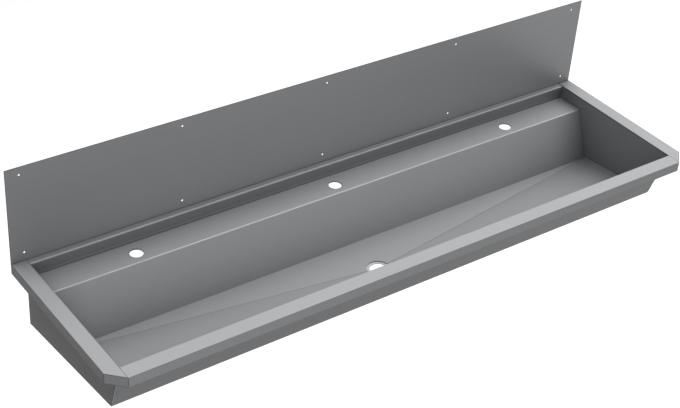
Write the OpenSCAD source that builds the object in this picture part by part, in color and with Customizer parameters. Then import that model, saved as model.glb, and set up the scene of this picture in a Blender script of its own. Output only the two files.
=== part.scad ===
// Wall-hung wash trough in folded stainless sheet, with a splashback and a tap ledge.
// Millimetres. The origin is on the wall, midway along the trough, at the height of the rim.
// +X runs along the trough, +Y goes into the wall and +Z is up.

/* [Overall] */
// Overall width along the wall
overall_w = 1800; // [1500:10:2400]
// Overall depth out from the wall
overall_d = 500; // [450:5:600]
// Thickness of the stainless sheet
sheet_t = 1.5; // [1:0.1:2.5]
// Inside radius of the folds beside the tap ledge and at the bowl's front edge
bend_r = 2.5; // [1:0.5:4]

/* [Splashback] */
// Height of the splashback above the rim
splash_h = 265; // [150:5:400]
// Diameter of the wall screw holes
screw_hole_d = 6; // [4:0.5:10]
// Screw holes in each of the two rows
screw_count = 5; // [3:2:9]
// Distance from the splashback's end to the first hole
screw_end = 36; // [20:1:60]
// Distance from the splashback's top edge to the upper row
screw_top = 22; // [12:1:40]
// Height of the lower row above the rim
screw_low = 23; // [14:1:40]

/* [Rim] */
// Width of the two side rims
side_rim_w = 40; // [30:1:60]
// Width of the front rim
front_rim_w = 42; // [34:1:60]
// Height of the turned-down lip
lip_h = 28; // [22:1:45]
// Length along the side that the cut front corner takes off
corner_cut = 40; // [15:1:60]

/* [Tap ledge] */
// Width of the narrow strip in front of the splashback
strip_w = 20; // [14:1:26]
// How far the strip lies below the side rims
strip_drop = 1; // [0.5:0.5:3]
// Depth of the ledge below the rim
ledge_drop = 38; // [28:1:55]
// Width of the ledge from front to back
ledge_w = 82; // [76:1:110]
// Diameter of the tap holes
tap_hole_d = 35; // [28:0.5:36]
// Distance between neighbouring tap holes
tap_pitch = 600; // [400:10:620]
// Number of tap holes
tap_count = 3; // [1:2:3]
// Distance from the wall to the middle of the tap holes
tap_wall_dist = 66; // [60:1:68]

/* [Bowl] */
// How far the back wall slopes forward on its way down
back_lean = 55; // [30:1:80]
// How far the front wall slopes back on its way down
front_lean = 45; // [25:1:65]
// Depth of the floor's front edge below the rim
front_depth = 148; // [110:1:160]
// Depth of the floor's back edge below the rim
back_depth = 176; // [162:1:176]
// Depth of the floor's low point below the rim
low_depth = 177; // [177:1:200]
// Depth of the end panels where they meet the wall
end_depth = 197; // [190:1:230]

/* [Waste] */
// Distance from the wall to the middle of the waste hole
waste_wall_dist = 280; // [270:1:300]
// Diameter of the waste hole
waste_hole_d = 48; // [35:1:55]
// Diameter of the pressed seat around the waste hole
seat_d = 64; // [60:1:80]
// Depth of the seat below the floor's low point
seat_drop = 3; // [2:0.5:6]

/* [Wall brackets] */
// Distance from the middle of the trough to each bracket
bracket_x = 450; // [380:5:500]
// Thickness of the bracket plate
bracket_t = 3; // [2:0.5:5]
// Width of the bracket's flanges
bracket_w = 40; // [32:1:60]
// Height of the bracket on the wall
bracket_h = 140; // [120:5:160]
// Diameter of the bracket's wall holes
bracket_hole_d = 9; // [6:0.5:12]
// Distance between the bracket's two wall holes
bracket_hole_pitch = 70; // [50:5:90]

/* [Hidden] */

// Roundness of holes, bends and small round parts
$fn = 64;
bend_steps = 6;
hex_sides = 6;
// Overrun of every cut past the face that it goes through
cut_over = 1;
// Places where one folded sheet butts against the next
upstand_flange = 8;
nose_flange = 8;
rim_flange = 8;
// Gap at each end of the strip
strip_end_gap = 0.6;
// How much the seat widens, in radius, between the floor's low point and its front edge
seat_flare = 2;

// Doubler plates under the tap holes
tap_plate_w = 76;
tap_plate_d = 56;
tap_plate_t = 2;
tap_plate_clear = 0.25;

// Folded channel under the front rim
stiffener_h = 18;
stiffener_inset = 6;
stiffener_end_gap = 12;

// Weld studs, washers, nuts and rubber pads that hold the ledge on the brackets
stud_d = 8;
stud_len = 20;
stud_front_gap = 16;
stud_pitch = 32;
stud_hole_clear = 0.5;
washer_d = 17;
washer_t = 1.6;
nut_af = 13;
nut_h = 6.5;
thread_clear = 0.05;
pad_t = 2;
bracket_front_gap = 10;
bracket_nose_h = 18;
bracket_foot_d = 22;

// Sound-deadening pads under the floor
sound_pad_l = 320;
sound_pad_d = 100;
sound_pad_t = 3;
sound_pad_end_gap = 60;

// Earth tag on the right end panel, with its screw set
earth_wall_dist = 60;
earth_depth = 110;
earth_w = 20;
earth_h = 26;
earth_leg = 24;
earth_t = 2;
earth_screw_d = 6;
earth_screw_len = 16;
earth_head_af = 10;
earth_head_h = 4;
earth_hole_clear = 0.3;
earth_washer_d = 12;
earth_washer_t = 1.6;
earth_nut_h = 5;

// Colours of the sheet, the plain steel parts, the rubber and the bitumen
sheet_colour = "darkgray";
steel_colour = "silver";
rubber_colour = "dimgray";
bitumen_colour = "black";

// Places along the section, measured from the wall and from the rim
half_w = overall_w / 2;
bowl_hw = half_w - side_rim_w;
ledge_front_y = -(strip_w + ledge_w);
back_foot_y = ledge_front_y - back_lean;
rim_inner_y = -(overall_d - front_rim_w);
front_foot_y = rim_inner_y + front_lean;
waste_y = -waste_wall_dist;
screw_span = overall_w - 2 * screw_end;
tap_xs = [for (i = [0 : tap_count - 1]) (i - (tap_count - 1) / 2) * tap_pitch];

// Helpers for outlines in the plane of the section, where u is Y and v is Z
function unit(v) = v / norm(v);
function left_of(v) = [-v[1], v[0]];
function run(p, i) = unit(p[i + 1] - p[i]);
function mitre(a, b) = (left_of(a) + left_of(b)) / (1 + a * b);
function turn(a, b) = a[0] * b[1] - a[1] * b[0];
function spin(v, q) = [v[0] * cos(q) - v[1] * sin(q), v[0] * sin(q) + v[1] * cos(q)];
function reversed(p) = [for (i = [len(p) - 1 : -1 : 0]) p[i]];

// The path moved to its left by a distance, with mitred corners
function moved(p, d) = [for (i = [0 : len(p) - 1])
    i == 0 ? p[0] + d * left_of(run(p, 0))
    : i == len(p) - 1 ? p[i] + d * left_of(run(p, i - 1))
    : p[i] + d * mitre(run(p, i - 1), run(p, i))];

// The points of an arc of radius r that rounds corner i of a path
function bend(p, i, r) =
    let (a = run(p, i - 1), b = run(p, i), side = sign(turn(a, b)), q = acos(a * b))
    let (centre = p[i] - a * r * tan(q / 2) + side * r * left_of(a))
    [for (k = [0 : bend_steps]) centre + spin(-side * r * left_of(a), side * q * k / bend_steps)];

// The path with its left turns and its right turns rounded
function rounded(p, r_left, r_right) = concat(
    [p[0]],
    [for (i = [1 : len(p) - 2])
        each bend(p, i, turn(run(p, i - 1), run(p, i)) > 0 ? r_left : r_right)],
    [p[len(p) - 1]]);

// Section of a folded sheet: the path is its seen face and the thickness goes to the left
module folded(p, t = sheet_t, r = bend_r) {
    seen = rounded(p, r + t, r);
    back = rounded(moved(p, t), r, r + t);
    polygon(concat(seen, reversed(back)));
}

// Section of a flat sheet or of one with sharp corners
module sharp(p, t = sheet_t) {
    polygon(concat(p, reversed(moved(p, t))));
}

// Extrudes a section drawn in the YZ plane along X, centred on the origin
module along_x(w) {
    rotate([90, 0, 90]) linear_extrude(height = w, center = true) children();
}

module in_pairs(x) {
    for (side = [-1, 1]) translate([side * x, 0, 0]) children();
}

// The seen faces of the folded sheets, from the wall to the lip
slope_end = unit([-back_lean, -(back_depth - ledge_drop)]);
nose_end = [ledge_front_y, -ledge_drop] + nose_flange * slope_end;
strip_path = [
    [0, -strip_drop],
    [-strip_w, -strip_drop],
    [-strip_w, -(ledge_drop - upstand_flange)]];
ledge_path = [
    [-strip_w, -(ledge_drop - upstand_flange)],
    [-strip_w, -ledge_drop],
    [ledge_front_y, -ledge_drop],
    nose_end];
back_wall_path = [
    nose_end,
    [back_foot_y, -back_depth]];
front_wall_path = [
    [front_foot_y, -front_depth],
    [rim_inner_y, 0],
    [rim_inner_y - rim_flange, 0]];
front_rim_path = [
    [rim_inner_y - rim_flange, 0],
    [-overall_d, 0],
    [-overall_d, -lip_h]];

// Upright plate with two rows of wall screw holes, which stands on the rims and on the strip
module splashback() {
    color(sheet_colour)
    difference() {
        union() {
            translate([-half_w, -sheet_t, 0]) cube([overall_w, sheet_t, splash_h]);
            translate([-bowl_hw + strip_end_gap, -sheet_t, -strip_drop])
                cube([2 * (bowl_hw - strip_end_gap), sheet_t, strip_drop + sheet_t]);
        }
        for (z = [screw_low, splash_h - screw_top])
            for (i = [0 : screw_count - 1])
                translate([-screw_span / 2 + i * screw_span / (screw_count - 1), cut_over, z])
                    rotate([90, 0, 0]) cylinder(d = screw_hole_d, h = sheet_t + 2 * cut_over);
    }
}

// Narrow strip in front of the splashback and the upstand that drops from it to the ledge
module back_strip() {
    color(sheet_colour) along_x(2 * (bowl_hw - strip_end_gap)) folded(strip_path);
}

// Level ledge with the tap holes and a rounded nose over the back wall
module tap_ledge() {
    color(sheet_colour)
    difference() {
        along_x(2 * bowl_hw) folded(ledge_path);
        for (x = tap_xs)
            translate([x, -tap_wall_dist, -ledge_drop - sheet_t - cut_over])
                cylinder(d = tap_hole_d, h = sheet_t + 2 * cut_over);
    }
}

// Sloped back wall of the bowl
module back_wall() {
    color(sheet_colour) along_x(2 * bowl_hw) sharp(back_wall_path);
}

// Everything below the floor's upper face: four flat facets that fall to the waste
module below_floor(depth) {
    top = [
        [-bowl_hw, front_foot_y, -front_depth],
        [bowl_hw, front_foot_y, -front_depth],
        [bowl_hw, back_foot_y, -back_depth],
        [-bowl_hw, back_foot_y, -back_depth],
        [0, waste_y, -low_depth]];
    bottom = [for (p = top) p - [0, 0, depth]];
    polyhedron(
        points = concat(top, bottom),
        faces = [
            [1, 0, 4], [2, 1, 4], [3, 2, 4], [0, 3, 4],
            [5, 6, 9], [6, 7, 9], [7, 8, 9], [8, 5, 9],
            [0, 1, 6, 5], [1, 2, 7, 6], [2, 3, 8, 7], [3, 0, 5, 8]]);
}

// Creased floor, open where the waste seat is let in
module floor_pan() {
    color(sheet_colour)
    difference() {
        below_floor(sheet_t);
        translate([0, waste_y, -low_depth - seat_drop - sheet_t - cut_over])
            cylinder(d = seat_d + 2 * sheet_t, h = low_depth);
    }
}

// The room inside the seat: upright as high as the floor's low point, and a little flared above it
module seat_room() {
    mouth_h = low_depth - front_depth;
    rotate_extrude()
        polygon([
            [0, 0],
            [seat_d / 2, 0],
            [seat_d / 2, seat_drop],
            [seat_d / 2 + seat_flare, seat_drop + mouth_h],
            [0, seat_drop + mouth_h]]);
}

// Round pressed seat with the waste hole, trimmed to the floor around it
module waste_seat() {
    seat_z = -low_depth - seat_drop;
    color(sheet_colour)
    difference() {
        intersection() {
            translate([0, waste_y, seat_z - sheet_t])
                cylinder(d = seat_d + 2 * sheet_t, h = low_depth - front_depth + seat_drop + sheet_t);
            below_floor(seat_drop + sheet_t + seat_d);
        }
        translate([0, waste_y, seat_z]) seat_room();
        translate([0, waste_y, seat_z - sheet_t - cut_over])
            cylinder(d = waste_hole_d, h = sheet_t + 2 * cut_over);
    }
}

// Sloped front wall of the bowl with the fold at the rim's inner edge
module front_wall() {
    color(sheet_colour) along_x(2 * bowl_hw) folded(front_wall_path);
}

// Front rim with its turned-down lip, between the two cut corners
module front_rim() {
    color(sheet_colour) along_x(2 * bowl_hw) sharp(front_rim_path);
}

// Side rim with its cut front corner and turned-down lip, on the +X side
module side_rim() {
    corner = [
        [bowl_hw, -overall_d],
        [half_w, -overall_d + corner_cut],
        [half_w, 0]];
    plan = concat(corner, [[bowl_hw, 0]]);
    color(sheet_colour)
    union() {
        translate([0, 0, -sheet_t]) linear_extrude(height = sheet_t) polygon(plan);
        translate([0, 0, -lip_h])
            intersection() {
                linear_extrude(height = lip_h) polygon(plan);
                linear_extrude(height = lip_h) sharp(corner);
            }
    }
}

module left_rim() {
    mirror([1, 0, 0]) side_rim();
}

module right_rim() {
    side_rim();
}

// Upright end panel that closes the bowl and runs back to the wall, on the +X side
module end_panel() {
    front_edge = moved(front_wall_path, sheet_t);
    color(sheet_colour)
    translate([bowl_hw + sheet_t / 2, 0, 0])
        along_x(sheet_t)
            polygon([[0, -sheet_t], front_edge[1], front_edge[0], [0, -end_depth]]);
}

module left_end_panel() {
    mirror([1, 0, 0]) end_panel();
}

module right_end_panel() {
    end_panel();
}

// Doubler plates that stiffen the ledge around each tap hole
module tap_plates() {
    color(steel_colour)
    for (x = tap_xs)
        translate([x, -tap_wall_dist, -ledge_drop - sheet_t - tap_plate_t])
            difference() {
                translate([-tap_plate_w / 2, -tap_plate_d / 2, 0])
                    cube([tap_plate_w, tap_plate_d, tap_plate_t]);
                translate([0, 0, -cut_over])
                    cylinder(d = tap_hole_d + 2 * tap_plate_clear, h = tap_plate_t + 2 * cut_over);
            }
}

// Folded channel under the front rim, between the lip and the front wall
module front_stiffener() {
    inner_y = rim_inner_y - stiffener_inset;
    outer_y = -overall_d + sheet_t + stiffener_inset;
    path = [
        [inner_y, -sheet_t - stiffener_h],
        [inner_y, -sheet_t],
        [outer_y, -sheet_t],
        [outer_y, -sheet_t - stiffener_h]];
    color(steel_colour) along_x(2 * (bowl_hw - stiffener_end_gap)) folded(path);
}

// Heights and places that the brackets, studs and pads share
ledge_under_z = -ledge_drop - sheet_t;
bracket_top_z = ledge_under_z - pad_t;
bracket_front_y = ledge_front_y + bracket_front_gap;
stud_ys = [for (i = [0, 1]) bracket_front_y + stud_front_gap + i * stud_pitch];

// Folded wall bracket: a wall flange, a flange under the ledge and a web between them
module bracket() {
    hole_mid_z = bracket_top_z - bracket_h / 2;
    web = [
        [0, bracket_top_z],
        [bracket_front_y, bracket_top_z],
        [bracket_front_y, bracket_top_z - bracket_nose_h],
        [-bracket_foot_d, bracket_top_z - bracket_h],
        [0, bracket_top_z - bracket_h]];
    color(steel_colour)
    difference() {
        union() {
            translate([-bracket_w / 2, -bracket_t, bracket_top_z - bracket_h])
                cube([bracket_w, bracket_t, bracket_h]);
            translate([-bracket_w / 2, bracket_front_y, bracket_top_z - bracket_t])
                cube([bracket_w, -bracket_front_y, bracket_t]);
            translate([-bracket_w / 2 + bracket_t / 2, 0, 0]) along_x(bracket_t) polygon(web);
        }
        for (side = [-1, 1])
            translate([0, cut_over, hole_mid_z + side * bracket_hole_pitch / 2])
                rotate([90, 0, 0])
                    cylinder(d = bracket_hole_d, h = bracket_t + 2 * cut_over);
        for (y = stud_ys)
            translate([0, y, bracket_top_z - bracket_t - cut_over])
                cylinder(d = stud_d + 2 * stud_hole_clear, h = bracket_t + 2 * cut_over);
    }
}

module left_bracket() {
    translate([-bracket_x, 0, 0]) bracket();
}

module right_bracket() {
    translate([bracket_x, 0, 0]) mirror([1, 0, 0]) bracket();
}

// Rubber pads between the brackets and the ledge
module bracket_pads() {
    pad_d = ledge_w - bracket_front_gap - upstand_flange;
    color(rubber_colour)
    in_pairs(bracket_x)
        difference() {
            translate([-bracket_w / 2, bracket_front_y, bracket_top_z])
                cube([bracket_w, pad_d, pad_t]);
            for (y = stud_ys)
                translate([0, y, bracket_top_z - cut_over])
                    cylinder(d = stud_d + 2 * stud_hole_clear, h = pad_t + 2 * cut_over);
        }
}

// Repeats a part at each of the four stud places
module at_studs() {
    in_pairs(bracket_x) for (y = stud_ys) translate([0, y, 0]) children();
}

// Studs welded under the ledge
module ledge_studs() {
    color(steel_colour)
    at_studs() translate([0, 0, ledge_under_z - stud_len]) cylinder(d = stud_d, h = stud_len);
}

// A ring with its lower face at z = 0: round, or hexagonal when sides is 6
module ring(outer_d, inner_d, h, sides = $fn) {
    difference() {
        cylinder(d = outer_d, h = h, $fn = sides);
        translate([0, 0, -cut_over]) cylinder(d = inner_d, h = h + 2 * cut_over);
    }
}

// Width across the corners of a hexagon from its width across the flats
function hex_d(af) = af / cos(180 / hex_sides);

module stud_washers() {
    color(steel_colour)
    at_studs()
        translate([0, 0, bracket_top_z - bracket_t - washer_t])
            ring(washer_d, stud_d + 2 * stud_hole_clear, washer_t);
}

module stud_nuts() {
    color(steel_colour)
    at_studs()
        translate([0, 0, bracket_top_z - bracket_t - washer_t - nut_h])
            ring(hex_d(nut_af), stud_d + 2 * thread_clear, nut_h, hex_sides);
}

// Slopes of the floor's end facet along Y and along X, on the +X side, and its height at the end
// panel in line with the waste
facet_y_slope = (back_depth - front_depth) / (front_foot_y - back_foot_y);
facet_end_z = -front_depth + facet_y_slope * (waste_y - front_foot_y);
facet_x_slope = (low_depth + facet_end_z) / bowl_hw;
facet_rise = norm([facet_x_slope, facet_y_slope, 1]);
facet_turn_x = asin(facet_y_slope / facet_rise);
facet_turn_y = asin(-facet_x_slope / (facet_rise * cos(facet_turn_x)));

// Bitumen pad stuck under the floor's end facet, on the +X side
module sound_pad() {
    mid_x = bowl_hw - sound_pad_end_gap - sound_pad_l / 2;
    mid_z = -low_depth + facet_x_slope * mid_x;
    color(bitumen_colour)
    translate([mid_x, waste_y, mid_z])
        rotate([facet_turn_x, facet_turn_y, 0])
            translate([-sound_pad_l / 2, -sound_pad_d / 2, -sheet_t / facet_rise - sound_pad_t])
                cube([sound_pad_l, sound_pad_d, sound_pad_t]);
}

module left_sound_pad() {
    mirror([1, 0, 0]) sound_pad();
}

module right_sound_pad() {
    sound_pad();
}

// Middle of the earth tag's hole and the upper face of its leg
module at_earth() {
    translate([bowl_hw - earth_leg / 2, -earth_wall_dist, -earth_depth]) children();
}

// Folded tag on the inside of the right end panel, behind the back wall
module earth_tag() {
    color(steel_colour)
    at_earth()
        difference() {
            union() {
                translate([earth_leg / 2 - earth_t, -earth_w / 2, -earth_h])
                    cube([earth_t, earth_w, earth_h]);
                translate([-earth_leg / 2, -earth_w / 2, -earth_t])
                    cube([earth_leg, earth_w, earth_t]);
            }
            translate([0, 0, -earth_t - cut_over])
                cylinder(d = earth_screw_d + 2 * earth_hole_clear, h = earth_t + 2 * cut_over);
        }
}

module earth_screw() {
    color(steel_colour)
    at_earth()
        union() {
            translate([0, 0, -earth_screw_len]) cylinder(d = earth_screw_d, h = earth_screw_len);
            cylinder(d = hex_d(earth_head_af), h = earth_head_h, $fn = hex_sides);
        }
}

module earth_washer() {
    color(steel_colour)
    at_earth()
        translate([0, 0, -earth_t - earth_washer_t])
            ring(earth_washer_d, earth_screw_d + 2 * earth_hole_clear, earth_washer_t);
}

module earth_nut() {
    color(steel_colour)
    at_earth()
        translate([0, 0, -earth_t - earth_washer_t - earth_nut_h])
            ring(hex_d(earth_head_af), earth_screw_d + 2 * thread_clear, earth_nut_h, hex_sides);
}

splashback();
back_strip();
tap_ledge();
back_wall();
floor_pan();
waste_seat();
front_wall();
front_rim();
left_rim();
right_rim();
left_end_panel();
right_end_panel();
tap_plates();
front_stiffener();
left_bracket();
right_bracket();
bracket_pads();
ledge_studs();
stud_washers();
stud_nuts();
left_sound_pad();
right_sound_pad();
earth_tag();
earth_screw();
earth_washer();
earth_nut();
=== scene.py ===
import math

import bmesh
import bpy
from mathutils import Matrix, Vector
from mathutils.bvhtree import BVHTree


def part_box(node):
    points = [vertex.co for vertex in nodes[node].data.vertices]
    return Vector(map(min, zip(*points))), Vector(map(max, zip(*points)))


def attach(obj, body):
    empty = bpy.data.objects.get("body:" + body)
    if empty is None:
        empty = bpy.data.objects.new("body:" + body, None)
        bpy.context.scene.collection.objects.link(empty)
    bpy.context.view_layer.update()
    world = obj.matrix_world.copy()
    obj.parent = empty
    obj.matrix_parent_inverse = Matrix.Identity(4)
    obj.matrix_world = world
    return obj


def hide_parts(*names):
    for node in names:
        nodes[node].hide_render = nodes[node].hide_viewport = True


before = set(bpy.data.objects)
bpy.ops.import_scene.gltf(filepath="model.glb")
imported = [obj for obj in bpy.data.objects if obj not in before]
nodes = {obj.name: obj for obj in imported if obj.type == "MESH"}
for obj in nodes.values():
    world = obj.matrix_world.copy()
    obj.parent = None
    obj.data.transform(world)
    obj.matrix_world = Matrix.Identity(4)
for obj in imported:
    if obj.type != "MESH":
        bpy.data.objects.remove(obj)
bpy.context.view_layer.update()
body = "root"
print("frame loaded:", len(nodes), "nodes")


def addObject(name, data):
    obj = bpy.data.objects.new(name, data)
    bpy.context.scene.collection.objects.link(obj)
    return obj


# Camera, as fitted to the photograph

view = {
    "spot": (-2.0219, -2.6884, 2.1726),    # metres, in the frame that the CAD model is in
    "azimuth": -39.12,                     # degrees, 0 looks along +Y
    "elevation": 34.67,
    "roll": -5.05,
    "focalLength": 1490.3,                 # pixels of the photograph
    "photoSize": (680, 408),
    "lensCentre": (365, 212),              # pixels, a little off the middle of the picture
    "sensor": 36.0,                        # millimetres
}


def makeCamera():
    az, el, roll = (math.radians(view[k]) for k in ("azimuth", "elevation", "roll"))
    back = Vector((math.sin(az) * math.cos(el), -math.cos(az) * math.cos(el), math.sin(el)))
    right = (-back).cross(Vector((0, 0, 1))).normalized()
    down = (-back).cross(right)
    rolledRight = right * math.cos(roll) + down * math.sin(roll)
    rolledDown = down * math.cos(roll) - right * math.sin(roll)
    width, height = view["photoSize"]
    data = bpy.data.cameras.new("photoCamera")
    data.sensor_width = view["sensor"]
    data.lens = view["focalLength"] / width * view["sensor"]
    data.shift_x = (width / 2 - view["lensCentre"][0]) / width
    data.shift_y = (view["lensCentre"][1] - height / 2) / width
    camera = addObject("photoCamera", data)
    turn = Matrix((rolledRight, -rolledDown, back)).transposed().to_4x4()
    camera.matrix_world = Matrix.Translation(view["spot"]) @ turn
    bpy.context.scene.camera = camera


makeCamera()
print("camera set")


# Node trees, for materials and for geometry

def addNode(tree, kind, inputs=None, **settings):
    node = tree.nodes.new(kind)
    for key, value in settings.items():
        setattr(node, key, value)
    for key, value in (inputs or {}).items():
        if isinstance(value, bpy.types.NodeSocket):
            tree.links.new(value, node.inputs[key])
        else:
            node.inputs[key].default_value = value
    return node


# A new node's first output
def socket(tree, kind, inputs=None, **settings):
    return addNode(tree, kind, inputs, **settings).outputs[0]


def calc(tree, operation, *values):
    return socket(tree, "ShaderNodeMath", dict(enumerate(values)), operation=operation)


def newMaterial(name):
    mat = bpy.data.materials.new(name)
    mat.use_nodes = True
    mat.node_tree.nodes.clear()
    return mat, mat.node_tree


# Floor, world and lamps

studio = {
    "rimHeight": 0.85,                     # metres, how far above the floor the rim hangs
    "floorSize": 60.0,
    "floorColour": (0.5, 0.5, 0.5, 1),
    "floorLift": 0.85,                     # added for the camera, so that the floor reads as white
    "floorBounce": (0.25, 0.25, 0.25, 1),  # the floor's colour as the object is lit by it
    "ambient": 0.0,                        # the world's light on the object
}

# Metres and watts
lamps = {
    "sideTop": {"place": (2.5, -0.3, 2.6), "aim": (0.5, -0.3, 0), "size": (3.0, 4.0), "power": 73},
    "backTop": {"place": (0, 1.4, 2.4), "aim": (0, -0.3, 0), "size": (5.0, 1.6), "power": 17},
    "leftTop": {"place": (-1.2, 0.4, 2.4), "aim": (-0.4, -0.3, 0), "size": (2.0, 1.6), "power": 20},
    "overhead": {"place": (0, -0.3, 2.0), "aim": (0, -0.3, 0), "size": (2.8, 0.8), "power": 12},
    "frontLamp": {
        "place": (-1.2, -2.6, 0.7), "aim": (-0.4, -0.2, 0), "size": (1.6, 1.2), "power": 13},
}


# 1 for what the camera sees, also in a mirror or through glass, and 0 for light on the object
def seenByCamera(tree):
    path = addNode(tree, "ShaderNodeLightPath").outputs
    straight = calc(tree, "MAXIMUM", path["Is Camera Ray"], path["Is Glossy Ray"])
    return calc(tree, "MAXIMUM", straight, path["Is Transmission Ray"])


# The floor is clear from below, so that the underside can be looked at
def makeFloor():
    half = studio["floorSize"] / 2
    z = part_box("front_rim")[1].z - studio["rimHeight"]
    corners = [(-half, -half, z), (half, -half, z), (half, half, z), (-half, half, z)]
    mesh = bpy.data.meshes.new("floor")
    mesh.from_pydata(corners, [], [(0, 1, 2, 3)])
    floor = addObject("floor", mesh)
    mat, tree = newMaterial("paleFloor")
    plain = socket(tree, "ShaderNodeBsdfDiffuse", {"Color": studio["floorColour"]})
    lift = socket(tree, "ShaderNodeEmission", {"Strength": studio["floorLift"]})
    pale = socket(tree, "ShaderNodeAddShader", {0: plain, 1: lift})
    bounce = socket(tree, "ShaderNodeBsdfDiffuse", {"Color": studio["floorBounce"]})
    above = socket(tree, "ShaderNodeMixShader", {0: seenByCamera(tree), 1: bounce, 2: pale})
    clear = socket(tree, "ShaderNodeBsdfTransparent")
    below = addNode(tree, "ShaderNodeNewGeometry").outputs["Backfacing"]
    oneSided = socket(tree, "ShaderNodeMixShader", {0: below, 1: above, 2: clear})
    addNode(tree, "ShaderNodeOutputMaterial", {"Surface": oneSided})
    mesh.materials.append(mat)


def makeWorld():
    world = bpy.data.worlds.new("studioWorld")
    world.use_nodes = True
    tree = world.node_tree
    tree.nodes.clear()
    limits = {"Value": seenByCamera(tree), "To Min": studio["ambient"], "To Max": 1.0}
    strength = socket(tree, "ShaderNodeMapRange", limits)
    white = socket(tree, "ShaderNodeBackground", {"Color": (1, 1, 1, 1), "Strength": strength})
    addNode(tree, "ShaderNodeOutputWorld", {"Surface": white})
    bpy.context.scene.world = world


def makeLamps():
    for name, lamp in lamps.items():
        data = bpy.data.lights.new(name, "AREA")
        data.shape = "RECTANGLE"
        data.size, data.size_y = lamp["size"]
        data.energy = lamp["power"]
        place, aim = Vector(lamp["place"]), Vector(lamp["aim"])
        turn = (aim - place).to_track_quat("-Z", "Y").to_matrix().to_4x4()
        addObject(name, data).matrix_world = Matrix.Translation(place) @ turn


makeFloor()
makeWorld()
makeLamps()
bpy.context.scene.view_settings.view_transform = "Standard"
print("studio set")


# Materials. Grain is in noise cells per metre along X, Y and Z. Tones are shares of the colour

# For every look that doesn't say otherwise
commonLook = {
    "cornerShadeReach": 0.11,                     # metres from a corner within which painted shade darkens the colour, following ambient occlusion
    "sideShade": 0,                           # painted shade on faces that look along X
    "sideShadePower": 4,
    "seamShade": 0,                           # painted shade right beside another surface
    "seamShadeReach": 0.005,                      # metres
    "reachSamples": 8,
    "shine": 0.5,                            # specular level
}

satin = {
    "colour": (0.415, 0.422, 0.436), "metallic": 0.15, "roughness": 0.45, "roughSpread": 0.08,
    "grain": (4, 350, 350), "grainTone": 0.07, "bump": 0.00003,
    "clouds": 2.2, "cloudTone": 0.07, "edgeTone": -0.5, "cornerShade": -0.85, "sideShade": -0.5,
}

# The plate, side, end and seat looks are copies of the one satin steel, with colour, shine and metallic
# set apart to paint those pieces lighter or darker
looks = {
    "satinSheet": satin,
    "satinPlate": {**satin, "colour": (0.448, 0.456, 0.471), "cornerShadeReach": 0.25},
    "satinSide": {                           # the rims are polished front to back, and get a stronger painted shade on their faces that look along X
        **satin, "colour": (0.435, 0.441, 0.455), "grain": (350, 4, 350), "seamShade": -0.6,
        "sideShade": -0.68, "sideShadePower": 8, "shine": 0.25},
    "satinEnd": {
        **satin, "grain": (350, 4, 350), "seamShade": -0.6, "cornerShade": -0.45, "shine": 0.15,
        "metallic": 0.05},
    "satinSeat": {
        **satin, "colour": (0.62, 0.63, 0.65), "grain": (300, 300, 300), "cornerShade": -0.1,
        "edgeTone": -0.7},
    "plainSteel": {
        "colour": (0.5, 0.5, 0.5), "metallic": 0.6, "roughness": 0.5, "roughSpread": 0.15,
        "grain": (260, 260, 260), "grainTone": 0.1, "bump": 0.00003,
        "clouds": 18, "cloudTone": 0.12, "edgeTone": 0.25, "cornerShade": -0.4},
    "zincPlate": {
        "colour": (0.58, 0.59, 0.6), "metallic": 0.5, "roughness": 0.42, "roughSpread": 0.2,
        "grain": (400, 400, 400), "grainTone": 0.12, "bump": 0.00002,
        "clouds": 45, "cloudTone": 0.18, "edgeTone": -0.2, "cornerShade": -0.4},
    "weldSteel": {
        "colour": (0.36, 0.35, 0.34), "metallic": 0.5, "roughness": 0.4, "roughSpread": 0.15,
        "grain": (300, 300, 300), "grainTone": 0.15, "bump": 0.00003,
        "clouds": 60, "cloudTone": 0.3, "edgeTone": 0.0, "cornerShade": -0.4},
    "padRubber": {
        "colour": (0.05, 0.05, 0.05), "metallic": 0.0, "roughness": 0.75, "roughSpread": 0.1,
        "grain": (900, 900, 900), "grainTone": 0.3, "bump": 0.00008,
        "clouds": 30, "cloudTone": 0.3, "edgeTone": 0.5, "cornerShade": -0.4},
    "bitumenSheet": {
        "colour": (0.06, 0.06, 0.065), "metallic": 0.0, "roughness": 0.8, "roughSpread": 0.1,
        "grain": (350, 350, 350), "grainTone": 0.4, "bump": 0.0002,
        "clouds": 14, "cloudTone": 0.3, "edgeTone": 0.4, "cornerShade": -0.4},
}


# The shade times one plus a share of the mask
def toned(tree, shade, mask, share):
    return calc(tree, "MULTIPLY", shade, calc(tree, "MULTIPLY_ADD", mask, share, 1.0))


# 0 in the open, and up to 1 where other surfaces stand within reach. The painted shade of corners and
# seams follows it
def closeness(tree, reach, samples):
    free = addNode(tree, "ShaderNodeAmbientOcclusion", {"Distance": reach}, samples=samples)
    return calc(tree, "SUBTRACT", 1.0, free.outputs["AO"])
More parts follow.
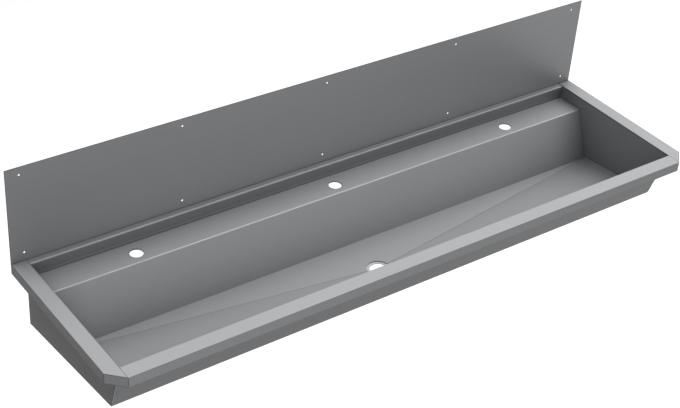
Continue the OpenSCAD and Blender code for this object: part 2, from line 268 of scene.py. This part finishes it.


# The colour, with the tones of grain and clouds, the painted light and shade of marked edges, and
# painted shade in corners, on sides and in seams
def makeLook(name, look):
    mat, tree = newMaterial(name)
    place = addNode(tree, "ShaderNodeTexCoord").outputs["Object"]
    stretched = socket(
        tree, "ShaderNodeVectorMath", {0: place, 1: look["grain"]}, operation="MULTIPLY")
    grain = socket(tree, "ShaderNodeTexNoise", {"Vector": stretched, "Scale": 1.0, "Detail": 2.0})
    patches = {"Vector": place, "Scale": look["clouds"], "Detail": 3.0}
    clouds = socket(tree, "ShaderNodeTexNoise", patches)
    evenTone = 1 - (look["grainTone"] + look["cloudTone"]) / 2
    shade = calc(tree, "MULTIPLY_ADD", grain, look["grainTone"], evenTone)
    shade = calc(tree, "MULTIPLY_ADD", clouds, look["cloudTone"], shade)
    edge = addNode(tree, "ShaderNodeAttribute", attribute_name="edgeTone").outputs["Fac"]
    shade = toned(tree, shade, edge, look["edgeTone"])
    # Painted shade: the colour darkens where other surfaces stand close, as in the shade of a corner
    corner = closeness(tree, look["cornerShadeReach"], look["reachSamples"])
    shade = toned(tree, shade, corner, look["cornerShade"])
    if look["sideShade"]:
        # Painted shade on the faces that look along X, darker the more squarely they face that way
        normal = addNode(tree, "ShaderNodeNewGeometry").outputs["Normal"]
        sideways = calc(tree, "ABSOLUTE", socket(tree, "ShaderNodeSeparateXYZ", {0: normal}))
        side = calc(tree, "POWER", sideways, look["sideShadePower"])
        shade = toned(tree, shade, side, look["sideShade"])
    if look["seamShade"]:
        # Painted shade in the narrow seams beside other surfaces, from short-reach occlusion
        seam = closeness(tree, look["seamShadeReach"], look["reachSamples"])
        shade = toned(tree, shade, seam, look["seamShade"])
    colour = socket(
        tree, "ShaderNodeVectorMath", {0: look["colour"], "Scale": shade}, operation="SCALE")
    lowRough = look["roughness"] - look["roughSpread"] / 2
    mixed = calc(tree, "ADD", grain, clouds)
    rough = calc(tree, "MULTIPLY_ADD", mixed, look["roughSpread"] / 2, lowRough)
    relief = {"Height": grain, "Strength": 1.0, "Distance": look["bump"]}
    bump = socket(tree, "ShaderNodeBump", relief)
    shader = socket(tree, "ShaderNodeBsdfPrincipled", {
        "Base Color": colour, "Metallic": look["metallic"], "Roughness": rough, "Normal": bump,
        "Specular IOR Level": look["shine"]})
    addNode(tree, "ShaderNodeOutputMaterial", {"Surface": shader})
    return mat


materials = {name: makeLook(name, {**commonLook, **look}) for name, look in looks.items()}
print("materials made:", len(materials))


# Meshes

meshing = {
    "mergeDistance": 1e-6,     # metres
    "cutMargin": 1e-7,
    "flatAngle": 0.3,          # degrees, within which neighbouring faces become one
    "smoothAngle": 32,         # degrees, up to which an edge is shaded smooth
}


# Merges doubled points and makes flat faces whole again
def cleanUp(bm):
    flat = math.radians(meshing["flatAngle"])
    bmesh.ops.remove_doubles(bm, verts=bm.verts, dist=meshing["mergeDistance"])
    bmesh.ops.dissolve_limit(bm, angle_limit=flat, verts=bm.verts, edges=bm.edges)


def nodeCopy(name):
    bm = bmesh.new()
    bm.from_mesh(nodes[name].data)
    bm.transform(nodes[name].matrix_world)
    cleanUp(bm)
    return bm


nodePoints = {
    name: [obj.matrix_world @ v.co for v in obj.data.vertices] for name, obj in nodes.items()}


# The node's point that lies farthest along a direction
def farthest(name, *direction):
    return max(nodePoints[name], key=Vector(direction).dot)


def meshFrom(bm, name):
    bmesh.ops.recalc_face_normals(bm, faces=bm.faces)
    mesh = bpy.data.meshes.new(name)
    bm.to_mesh(mesh)
    bm.free()
    return mesh


# The mesh that an object has after its modifiers
def modifiedMesh(obj):
    graph = bpy.context.evaluated_depsgraph_get()
    return bpy.data.meshes.new_from_object(obj.evaluated_get(graph))


# Gives a mesh its material and smooth normals, and hands it over as a piece of the body
def addPiece(name, mesh, look, *replaced):
    mesh.materials.clear()
    mesh.materials.append(materials[look])
    mesh.polygons.foreach_set("use_smooth", [True] * len(mesh.polygons))
    mesh.set_sharp_from_angle(angle=math.radians(meshing["smoothAngle"]))
    obj = addObject(name, mesh)
    weighted = obj.modifiers.new("weighted", "WEIGHTED_NORMAL")
    weighted.keep_sharp = True
    obj.data = modifiedMesh(obj)
    obj.modifiers.clear()
    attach(obj, body)
    if replaced:
        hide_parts(*replaced)


# Edges. A sheet's cut and folded edges are deburred, and a strip of another tone is painted beside
# them: on satin steel a painted shade that draws the edge dark. The face attribute edgeTone says how
# much of the look's own edge tone a face gets: none at 0, all of it at 1, and the opposite below 0.
# It also carries the painted light and shade of bends, front sides, floor fields, creases and the
# seat's wall. On satin steel 1 is darker, and less than 0 is brighter

edging = {
    "band": 0.0016,            # metres, the strip's width
    "bevel": 0.0003,
    "segments": 2,
    "narrowest": 2.5,          # bands. A narrower face is a cut edge, and marked all over
    "sharpAngle": 25,          # degrees
    "bendAngle": 0.05,         # radians, the least angle between the facets of a rounded bend
    "flushGap": 0.00002,       # metres, between sheets that are ground flush
    "endSlack": 0.0001,        # metres, for what lies at a sheet's far end
    "edgeTone": 1.0,
    "endTone": -0.5,           # the welds at the ends of the folded sheets are ground bright
    "innerBendShade": 1.7,          # painted shade in the inner bends of the strip and the ledge
    "innerLean": (0.1, 0.98),  # how far along -Y the normals of these inner bends point
    "outerLean": 0.42,         # the least that the normals of the outer bends with painted light point along -Y
    "outerRise": 0.68,         # and along Z
    "frontShadeLean": 0.9,           # the least that the normals of a front side in painted shade point along -Y
}
sharpAngle = math.radians(edging["sharpAngle"])


# The parts of the surface that sharp edges divide
def faceRegions(bm):
    left = set(bm.faces)
    regions = []
    for first in bm.faces:
        if first not in left:
            continue
        left.remove(first)
        region = [first]
        for face in region:
            for edge in face.edges:
                if edge.calc_face_angle(math.pi) < sharpAngle:
                    near = [f for f in edge.link_faces if f in left]
                    left.difference_update(near)
                    region.extend(near)
        regions.append(region)
    return regions


# A test of whether an edge lies on one of the nodes that the sheet is ground flush with
def flushTest(names):
    trees = []
    for name in names:
        bm = nodeCopy(name)
        trees.append(BVHTree.FromBMesh(bm))
        bm.free()

    def isFlush(edge):
        a, b = (v.co for v in edge.verts)
        spots = [a.lerp(b, share) for share in (0.25, 0.5, 0.75)]
        gap = edging["flushGap"]
        return any(all(tree.find_nearest(spot)[3] < gap for spot in spots) for tree in trees)

    return isFlush


# Sets a marked strip into every wide face. Beside a flush joint the strip stays unmarked
def insetFaces(bm, isFlush, band, brightEnds):
    tone = bm.faces.layers.float["edgeTone"]
    farEnd = max(abs(v.co.x) for v in bm.verts) - edging["endSlack"]
    narrow = edging["narrowest"] * edging["band"]
    for region in faceRegions(bm):
        inside = set(region)
        rim = [e for face in region for e in face.edges if not inside.issuperset(e.link_faces)]
        area = sum(face.calc_area() for face in region)
        length = sum(e.calc_length() for e in rim)
        if not rim or 2 * area / length < narrow:
            for face in region:
                face[tone] = edging["edgeTone"]
            continue
        ring = bmesh.ops.inset_region(
            bm, faces=region, thickness=band, use_even_offset=True, use_boundary=True)["faces"]
        inside.update(ring)
        for face in ring:
            outer = [e for e in face.edges if not inside.issuperset(e.link_faces)]
            ends = [abs(e.verts[0].co.x + e.verts[1].co.x) / 2 > farEnd for e in outer]
            if outer and brightEnds and all(ends):
                face[tone] = edging["endTone"]
            elif outer and all(isFlush(e) for e in outer):
                face[tone] = 0
            else:
                face[tone] = edging["edgeTone"]


# Bevels the sharp edges, but not the flush joints
def bevelEdges(bm, isFlush, offset):
    sharp = [e for e in bm.edges if e.calc_face_angle(0) > sharpAngle and not isFlush(e)]
    made = bmesh.ops.bevel(
        bm, geom=sharp, offset=offset, segments=edging["segments"], profile=0.5,
        affect="EDGES", clamp_overlap=True)
    tone = bm.faces.layers.float["edgeTone"]
    for face in made["faces"]:
        face[tone] = edging["edgeTone"]


# Paints shade into the inner bends of a sheet and, with the sheet's own tone, painted light and shade
# onto its outer ones
def markBends(bm, outerPaintedLight):
    tone = bm.faces.layers.float["edgeTone"]
    innerLow, innerHigh = edging["innerLean"]
    for face in bm.faces:
        folds = [
            e.is_convex for e in face.edges
            if edging["bendAngle"] < e.calc_face_angle(0) < sharpAngle]
        lean, rise = -face.normal.y, face.normal.z
        if folds and all(folds) and lean > edging["outerLean"] and rise > edging["outerRise"]:
            face[tone] = outerPaintedLight
        if folds and not any(folds) and innerLow < lean < innerHigh:
            face[tone] = edging["innerBendShade"]


# Paints shade onto the unmarked faces that look to the front
def shadeFront(bm, frontShade):
    tone = bm.faces.layers.float["edgeTone"]
    for face in bm.faces:
        if face[tone] == 0 and -face.normal.y > edging["frontShadeLean"]:
            face[tone] = frontShade


# Finishes a sheet's edges, and paints light and shade onto its bends and painted shade onto its front
# side if they have a tone of their own
def finishSheet(bm, flushWith=(), bevel=None, band=None, brightEnds=False, bendPaintedLight=None, frontShade=0):
    bm.faces.layers.float.new("edgeTone")
    isFlush = flushTest(flushWith)
    insetFaces(bm, isFlush, band or edging["band"], brightEnds)
    bevelEdges(bm, isFlush, bevel or edging["bevel"])
    if bendPaintedLight is not None:
        markBends(bm, bendPaintedLight)
    if frontShade:
        shadeFront(bm, frontShade)


# Geometry trees

# A tree with a geometry input and one input for each size, and the sockets that carry them
def newTree(name, **sizes):
    tree = bpy.data.node_groups.new(name, "GeometryNodeTree")
    tree.interface.new_socket("Geometry", in_out="INPUT", socket_type="NodeSocketGeometry")
    for label, value in sizes.items():
        kind = "NodeSocketInt" if isinstance(value, int) else "NodeSocketFloat"
        tree.interface.new_socket(label, in_out="INPUT", socket_type=kind).default_value = value
    tree.interface.new_socket("Geometry", in_out="OUTPUT", socket_type="NodeSocketGeometry")
    return tree, tree.nodes.new("NodeGroupInput").outputs


def closeTree(tree, geometry, look):
    real = socket(tree, "GeometryNodeRealizeInstances", {0: geometry})
    dressed = socket(tree, "GeometryNodeSetMaterial", {0: real, "Material": materials[look]})
    addNode(tree, "NodeGroupOutput", {0: dressed})


def startMesh(points, edges=()):
    mesh = bpy.data.meshes.new("start")
    mesh.from_pydata([tuple(p) for p in points], list(edges), [])
    return mesh


def closedOutline(points):
    return startMesh(points, [(i, (i + 1) % len(points)) for i in range(len(points))])


# Runs a tree on a starting mesh and gives back the finished mesh
def bakeTree(tree, start, **values):
    holder = addObject("holder", start)
    modifier = holder.modifiers.new("shape", "NODES")
    modifier.node_group = tree
    for item in tree.interface.items_tree:
        if item.in_out == "INPUT" and item.name in values:
            modifier[item.identifier] = values[item.name]
    mesh = modifiedMesh(holder)
    bpy.data.objects.remove(holder)
    return mesh


def join(tree, *parts):
    node = tree.nodes.new("GeometryNodeJoinGeometry")
    for part in parts:
        tree.links.new(part, node.inputs[0])
    return node.outputs[0]


def merge(tree, geometry):
    inputs = {0: geometry, "Distance": meshing["mergeDistance"]}
    return socket(tree, "GeometryNodeMergeByDistance", inputs)


# A copy of the shape at each of the points
def onPoints(tree, points, shape):
    return socket(tree, "GeometryNodeInstanceOnPoints", {"Points": points, "Instance": shape})


def combine(tree, **values):
    return socket(tree, "ShaderNodeCombineXYZ", values)


def circle(tree, radius, points):
    inputs = {"Resolution": points, "Radius": radius}
    return socket(tree, "GeometryNodeCurvePrimitiveCircle", inputs)


def cylinder(tree, vertices, radius, depth, **inputs):
    inputs = {"Vertices": vertices, "Radius": radius, "Depth": depth, **inputs}
    return socket(tree, "GeometryNodeMeshCylinder", inputs)


# A closed plate from a flat curve: the filled outline, its extruded copy and the turned-over base
def thickFill(tree, curve, height):
    flat = socket(tree, "GeometryNodeFillCurve", {0: curve})
    up = socket(tree, "GeometryNodeExtrudeMesh", {
        "Mesh": flat, "Offset Scale": height, "Individual": False})
    base = socket(tree, "GeometryNodeFlipFaces", {"Mesh": flat})
    return merge(tree, join(tree, up, base))


def finished(mesh, name, **options):
    bm = bmesh.new()
    bm.from_mesh(mesh)
    cleanUp(bm)
    finishSheet(bm, **options)
    return meshFrom(bm, name)


# Splashback

screwHoles = {
    "Span": 1.728, "Rise": 0.22,                         # metres, from the first hole to the last
    "MidHeight": 0.133, "HoleRadius": 0.003, "Columns": 5, "Rows": 2,
}
holePoints = 40


# An upright plate with a grid of round holes, drawn flat with its foot along X and then stood up
def platePattern(thickness):
    tree, size = newTree("perforatedPlate", Thickness=thickness, **screwHoles)
    outline = socket(tree, "GeometryNodeMeshToCurve", {0: size["Geometry"]})
    grid = socket(tree, "GeometryNodeMeshGrid", {
        "Size X": size["Span"], "Size Y": size["Rise"],
        "Vertices X": size["Columns"], "Vertices Y": size["Rows"]})
    lift = combine(tree, Y=size["MidHeight"])
    spots = socket(tree, "GeometryNodeSetPosition", {0: grid, "Offset": lift})
    rings = onPoints(tree, spots, circle(tree, size["HoleRadius"], holePoints))
    real = socket(tree, "GeometryNodeRealizeInstances", {0: rings})
    plate = thickFill(tree, join(tree, outline, real), size["Thickness"])
    upright = (math.pi / 2, 0, 0)
    stood = socket(tree, "GeometryNodeTransform", {0: plate, "Rotation": upright})
    closeTree(tree, stood, "satinPlate")
    return tree


# The plate stands on the wall side, and its narrower tongue goes down behind the strip
def makeSplashback():
    low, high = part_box("splashback")
    tongue = farthest("splashback", 0.01, 0, -1).x
    outline = [
        (low.x, 0), (-tongue, 0), (-tongue, low.z), (tongue, low.z),
        (tongue, 0), (high.x, 0), (high.x, high.z), (low.x, high.z)]
    start = closedOutline([(x, y, 0) for x, y in outline])
    plate = bakeTree(platePattern(high.y - low.y), start)
    addPiece("splashback_sheet", finished(plate, "splashback"), "satinPlate", "splashback")


makeSplashback()
print("splashback made")


# Folded sheets, each run along X from its own section

# The nodes that each sheet is ground flush with, the painted light of its outer bends and the painted
# shade of its front side, and the width of its marked strips where it isn't the usual one
folds = {
    "back_strip": {"flushWith": ["tap_ledge"], "bendPaintedLight": 0.1, "frontShade": 0.44},
    "tap_ledge": {"flushWith": ["back_strip", "back_wall"], "bendPaintedLight": -0.7},
    "back_wall": {"flushWith": ["tap_ledge", "floor_pan"]},
    "front_wall": {"flushWith": ["front_rim"], "frontShade": 0.8},
    "front_rim": {"flushWith": ["front_wall"], "band": 0.0007},
}
taps = {"Holes": 3, "Pitch": 0.6, "HoleY": -0.066, "HoleZ": -0.0387, "HoleRadius": 0.0175}
drill = {"points": 64, "depth": 0.01, "aside": 1.0}      # aside is a height clear of every sheet


# A folded sheet: its section runs along X, and a row of round holes goes down through it
def sheetPattern():
    tree, size = newTree("foldedSheet", Length=1.7, **taps)
    outline = socket(tree, "GeometryNodeMeshToCurve", {0: size["Geometry"]})
    block = thickFill(tree, outline, size["Length"])
    back = combine(tree, X=calc(tree, "MULTIPLY", size["Length"], -0.5))
    lying = (math.pi / 2, 0, math.pi / 2)
    laid = socket(tree, "GeometryNodeTransform", {
        0: block, "Rotation": lying, "Translation": back})
    halfPitch = calc(tree, "MULTIPLY", size["Pitch"], -0.5)
    firstX = calc(tree, "MULTIPLY", calc(tree, "SUBTRACT", size["Holes"], 1), halfPitch)
    start = combine(tree, X=firstX, Y=size["HoleY"], Z=size["HoleZ"])
    step = combine(tree, X=size["Pitch"])
    row = socket(tree, "GeometryNodeMeshLine", {
        "Count": size["Holes"], "Start Location": start, "Offset": step})
    tool = cylinder(tree, drill["points"], size["HoleRadius"], drill["depth"])
    cut = socket(
        tree, "GeometryNodeMeshBoolean", {"Mesh 1": laid, "Mesh 2": onPoints(tree, row, tool)},
        operation="DIFFERENCE")
    closeTree(tree, cut, "satinSheet")
    return tree


# The outline of a node's end at +X, as points (Y, Z)
def endSection(name):
    bm = nodeCopy(name)
    end = max(bm.faces, key=lambda f: (round(f.normal.x, 2), f.calc_center_median().x))
    points = [(loop.vert.co.y, loop.vert.co.z) for loop in end.loops]
    bm.free()
    return points


def makeFolds():
    tree = sheetPattern()
    for name, options in folds.items():
        low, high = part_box(name)
        start = closedOutline([(y, z, 0) for y, z in endSection(name)])
        holeZ = taps["HoleZ"] if name == "tap_ledge" else drill["aside"]
        sheet = bakeTree(tree, start, Length=high.x - low.x, HoleZ=holeZ)
        mesh = finished(sheet, name, brightEnds=True, **options)
        addPiece(name + "_sheet", mesh, "satinSheet", name)


makeFolds()
print("folded sheets made")


# Floor

floorMarks = {
    "creaseAngle": 3,          # degrees, the least fold that is a crease
    "creaseLength": 0.05,      # metres, the least length of a whole crease
    "creaseBand": 0.0008,      # metres, on each side of a crease
    "creaseShade": 0.95,
    "upward": 0.9,             # the least that a field's normal points along Z
    "backLean": 0.05,          # the back field is nearly level, and leans less than this along Y
    "backFieldShade": 0.22,
    "otherFieldShade": 0.33,
}


# Splits a thin strip off both faces along each crease, and paints shade onto the strips
def markCreases(bm):
    tone = bm.faces.layers.float["edgeTone"]
    least = math.radians(floorMarks["creaseAngle"])
    folds = [e for e in bm.edges if least < e.calc_face_angle(0) < sharpAngle]
    for crease in [e for e in folds if e.calc_length() > floorMarks["creaseLength"]]:
        start = crease.verts[0].co.copy()
        along = crease.verts[1].co - start
        for face in list(crease.link_faces):
            inward = face.normal.cross(along).normalized()
            if inward.dot(face.calc_center_median() - start) < 0:
                inward.negate()
            bmesh.ops.bisect_plane(
                bm, geom=[face, *face.edges, *face.verts], dist=meshing["cutMargin"],
                plane_co=start + inward * floorMarks["creaseBand"], plane_no=inward)
        for face in crease.link_faces:
            face[tone] = floorMarks["creaseShade"]


def makeFloorPan():
    bm = nodeCopy("floor_pan")
    finishSheet(bm, flushWith=["back_wall"])
    tone = bm.faces.layers.float["edgeTone"]
    # Painted shade on the floor's upward fields, lighter on the nearly level back field than on the
    # others
    for face in bm.faces:
        if face[tone] == 0 and face.normal.z > floorMarks["upward"]:
            isBack = abs(face.normal.y) < floorMarks["backLean"]
            face[tone] = floorMarks["backFieldShade" if isBack else "otherFieldShade"]
    markCreases(bm)
    addPiece("floor_pan_sheet", meshFrom(bm, "floor_pan"), "satinSheet", "floor_pan")


# Seat, side rims and ends

seat = {"bevel": 0.0005, "band": 0.0007, "wallShade": 1, "wallRise": 0.7}


# The seat's flat ring is as the press left it. Its wall, where the normals point up or down by less
# than wallRise, gets painted shade, as in a recess
def makeSeat():
    bm = nodeCopy("waste_seat")
    finishSheet(bm, bevel=seat["bevel"], band=seat["band"])
    tone = bm.faces.layers.float["edgeTone"]
    for face in bm.faces:
        face[tone] = seat["wallShade"] if abs(face.normal.z) < seat["wallRise"] else 0
    addPiece("waste_seat_satinSeat", meshFrom(bm, "waste_seat"), "satinSeat", "waste_seat")


def makeCopies(names, look, bevel=None):
    for name in names:
        bm = nodeCopy(name)
        finishSheet(bm, bevel=bevel)
        addPiece(name + "_" + look, meshFrom(bm, name), look, name)


makeFloorPan()
makeSeat()
makeCopies(["left_rim", "right_rim"], "satinSide")
makeCopies(["left_end_panel", "right_end_panel"], "satinEnd")
print("bowl and rims made")


# Hidden steel, rubber and bitumen, each with its bevel in metres

makeCopies(["tap_plates", "front_stiffener", "earth_tag"], "plainSteel", 0.0004)
makeCopies(["left_bracket", "right_bracket"], "zincPlate", 0.0006)
makeCopies(["earth_screw", "earth_washer", "earth_nut"], "zincPlate", 0.0003)
makeCopies(["bracket_pads"], "padRubber", 0.0005)
makeCopies(["left_sound_pad", "right_sound_pad"], "bitumenSheet", 0.0008)
print("hidden pieces made")


# Studs, washers and nuts on their four places

stud = {"Radius": 0.004, "Length": 0.02, "Turns": 16, "Depth": 0.0006, "PerTurn": 5}
studShape = {"points": 20, "taper": 12, "plainPart": 5.2}    # the thread runs out at both ends
nut = {"Flats": 0.013, "Height": 0.0065, "Bore": 0.00405, "Turn": math.pi / 6}
nutShape = {"points": 48, "cuts": 9, "chamfer": 0.48}        # the cone's radius at the face, in flats
washer = {"Outer": 0.0085, "Inner": 0.0043, "Thickness": 0.0016, "Round": 0.0002}
washerPoints = 48


# A threaded stud at each given point, with its middle there. The crest stays at the stud's radius
def studPattern():
    tree, size = newTree("threadedStud", **stud)
    rings = calc(tree, "MULTIPLY", size["Turns"], size["PerTurn"])
    rod = cylinder(
        tree, studShape["points"], size["Radius"], size["Length"], **{"Side Segments": rings})
    place = socket(tree, "GeometryNodeInputPosition")
    spot = addNode(tree, "ShaderNodeSeparateXYZ", {0: place}).outputs
    angle = calc(tree, "ARCTAN2", spot["Y"], spot["X"])
    around = calc(tree, "DIVIDE", angle, 2 * math.pi)
    height = calc(tree, "DIVIDE", spot["Z"], size["Length"])
    phase = calc(tree, "SUBTRACT", calc(tree, "MULTIPLY", height, size["Turns"]), around)
    groove = calc(tree, "MULTIPLY", calc(tree, "PINGPONG", phase, 0.5), 2)
    fromMiddle = calc(tree, "ABSOLUTE", height)
    nearEnd = calc(tree, "MULTIPLY_ADD", fromMiddle, studShape["taper"], -studShape["plainPart"])
    cut = calc(tree, "MAXIMUM", groove, nearEnd)
    deepest = calc(tree, "DIVIDE", size["Depth"], size["Radius"])
    shrink = calc(tree, "SUBTRACT", 1, calc(tree, "MULTIPLY", cut, deepest))
    x = calc(tree, "MULTIPLY", spot["X"], shrink)
    y = calc(tree, "MULTIPLY", spot["Y"], shrink)
    moved = combine(tree, X=x, Y=y, Z=spot["Z"])
    threaded = socket(tree, "GeometryNodeSetPosition", {0: rod, "Position": moved})
    closeTree(tree, onPoints(tree, size["Geometry"], threaded), "plainSteel")
    return tree


def rectangle(tree, width, height):
    inputs = {"Width": width, "Height": height}
    return socket(tree, "GeometryNodeCurvePrimitiveQuadrilateral", inputs)


# A hexagon nut with chamfered corners at each given point: a section carried around a circle, then
# held inside the six flats and inside the two cones that chamfer the corners
def nutPattern():
    tree, size = newTree("hexNut", **nut)
    corner = calc(tree, "DIVIDE", size["Flats"], math.sqrt(3))
    middle = calc(tree, "MULTIPLY", calc(tree, "ADD", corner, size["Bore"]), 0.5)
    section = rectangle(tree, calc(tree, "SUBTRACT", corner, size["Bore"]), size["Height"])
    fine = socket(
        tree, "GeometryNodeSubdivideCurve", {"Curve": section, "Cuts": nutShape["cuts"]})
    around = circle(tree, middle, nutShape["points"])
    ring = socket(tree, "GeometryNodeCurveToMesh", {"Curve": around, "Profile Curve": fine})
    place = socket(tree, "GeometryNodeInputPosition")
    spot = addNode(tree, "ShaderNodeSeparateXYZ", {0: place}).outputs
    angle = calc(tree, "ADD", calc(tree, "ARCTAN2", spot["Y"], spot["X"]), size["Turn"])
    fromFlat = calc(tree, "COSINE", calc(tree, "PINGPONG", angle, math.pi / 6))
    flatLimit = calc(tree, "DIVIDE", calc(tree, "MULTIPLY", size["Flats"], 0.5), fromFlat)
    halfHeight = calc(tree, "MULTIPLY", size["Height"], 0.5)
    depth = calc(tree, "SUBTRACT", halfHeight, calc(tree, "ABSOLUTE", spot["Z"]))
    coneTop = calc(tree, "MULTIPLY", size["Flats"], nutShape["chamfer"])
    coneLimit = calc(tree, "MULTIPLY_ADD", depth, math.sqrt(3), coneTop)
    flatSpot = combine(tree, X=spot["X"], Y=spot["Y"])
    radius = addNode(tree, "ShaderNodeVectorMath", {0: flatSpot}, operation="LENGTH").outputs["Value"]
    held = calc(tree, "MINIMUM", radius, calc(tree, "MINIMUM", flatLimit, coneLimit))
    share = calc(tree, "DIVIDE", held, radius)
    x = calc(tree, "MULTIPLY", spot["X"], share)
    y = calc(tree, "MULTIPLY", spot["Y"], share)
    moved = combine(tree, X=x, Y=y, Z=spot["Z"])
    shaped = socket(tree, "GeometryNodeSetPosition", {0: ring, "Position": moved})
    closeTree(tree, onPoints(tree, size["Geometry"], merge(tree, shaped)), "zincPlate")
    return tree


# A flat washer with rounded edges at each given point: a small section carried around a circle
def washerPattern():
    tree, size = newTree("flatWasher", **washer)
    middle = calc(tree, "MULTIPLY", calc(tree, "ADD", size["Outer"], size["Inner"]), 0.5)
    width = calc(tree, "SUBTRACT", size["Outer"], size["Inner"])
    rounding = {"Curve": rectangle(tree, width, size["Thickness"]), "Count": 2, "Radius": size["Round"]}
    soft = socket(tree, "GeometryNodeFilletCurve", rounding, mode="POLY")
    around = circle(tree, middle, washerPoints)
    ring = socket(tree, "GeometryNodeCurveToMesh", {"Curve": around, "Profile Curve": soft})
    closeTree(tree, onPoints(tree, size["Geometry"], ring), "zincPlate")
    return tree


def fixingSpots(name):
    low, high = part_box(name)
    studLow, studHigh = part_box("ledge_studs")
    xs = (studLow.x + stud["Radius"], studHigh.x - stud["Radius"])
    ys = (studLow.y + stud["Radius"], studHigh.y - stud["Radius"])
    return startMesh([(x, y, (low.z + high.z) / 2) for x in xs for y in ys])


def makeFixings():
    studs = bakeTree(studPattern(), fixingSpots("ledge_studs"))
    addPiece("threaded_studs", studs, "plainSteel", "ledge_studs")
    nuts = bakeTree(nutPattern(), fixingSpots("stud_nuts"))
    addPiece("hexagon_nuts", nuts, "zincPlate", "stud_nuts")
    washers = bakeTree(washerPattern(), fixingSpots("stud_washers"))
    addPiece("flat_washers", washers, "zincPlate", "stud_washers")


makeFixings()
print("fixings made")


# Welds, on the hidden side of each seam, and the marks of the spot welds that hold the tap plates

bead = {"Radius": 0.0013, "Ripple": 0.14, "Pitch": 0.004, "Step": 0.0014}
puddle = {"drift": 0.3, "driftScale": 90.0, "points": 7}     # drift is a share of the radius
weldInset = 0.0008                           # metres, from the seam towards the middle
spotMark = {"Radius": 0.0025, "Proud": 0.0002}
spotPoints = 16
spotInset = 0.007                            # metres, from the plate's edges


# A weld bead along each given line, with the ripple that the puddle leaves
def beadPattern():
    tree, size = newTree("weldBead", **bead)
    lines = socket(tree, "GeometryNodeMeshToCurve", {0: size["Geometry"]})
    fine = socket(
        tree, "GeometryNodeResampleCurve", {"Curve": lines, "Length": size["Step"]}, mode="LENGTH")
    along = addNode(tree, "GeometryNodeSplineParameter").outputs["Length"]
    turns = calc(tree, "MULTIPLY", calc(tree, "DIVIDE", along, size["Pitch"]), 2 * math.pi)
    wave = calc(tree, "MULTIPLY", calc(tree, "SINE", turns), size["Ripple"])
    even = calc(tree, "ADD", wave, 1 - puddle["drift"] / 2)
    drift = socket(tree, "ShaderNodeTexNoise", {"Scale": puddle["driftScale"], "Detail": 1.0})
    swell = calc(tree, "MULTIPLY_ADD", drift, puddle["drift"], even)
    made = socket(tree, "GeometryNodeCurveToMesh", {
        "Curve": fine, "Profile Curve": circle(tree, size["Radius"], puddle["points"]),
        "Scale": swell, "Fill Caps": True})
    closeTree(tree, made, "weldSteel")
    return tree


# Flat round marks of spot welds at the given points
def spotPattern():
    tree, size = newTree("spotWeld", **spotMark)
    disc = cylinder(tree, spotPoints, size["Radius"], size["Proud"], **{"Fill Segments": 2})
    closeTree(tree, onPoints(tree, size["Geometry"], disc), "weldSteel")
    return tree


def makeWelds():
    lines = []
    for side in (-1, 1):
        frontFoot = farthest("floor_pan", side, -1, -0.1)
        backFoot = farthest("back_wall", side, 0.2, -1)
        lines += [(frontFoot, backFoot), (backFoot, farthest("back_wall", side, 1, 0.1))]
    feet = [farthest("floor_pan", side, y, -0.1) for y in (-1, 1) for side in (-1, 1)]
    lines += [(feet[0], feet[1]), (feet[2], feet[3])]
    inward = Vector((weldInset, 0, 0))
    points = [p - inward if p.x > 0 else p + inward for line in lines for p in line]
    start = startMesh(points, [(i, i + 1) for i in range(0, len(points), 2)])
    addPiece("weld_beads", bakeTree(beadPattern(), start), "weldSteel")


# One mark in each corner of each plate
def makeSpots():
    spots = []
    for n in range(taps["Holes"]):
        middle = (n - (taps["Holes"] - 1) / 2) * taps["Pitch"]
        plate = [p for p in nodePoints["tap_plates"] if abs(p.x - middle) < taps["Pitch"] / 2]
        xs = (min(p.x for p in plate) + spotInset, max(p.x for p in plate) - spotInset)
        ys = (min(p.y for p in plate) + spotInset, max(p.y for p in plate) - spotInset)
        spots += [(x, y, min(p.z for p in plate)) for x in xs for y in ys]
    addPiece("spot_welds", bakeTree(spotPattern(), startMesh(spots)), "weldSteel")


makeWelds()
makeSpots()
print("welds made")
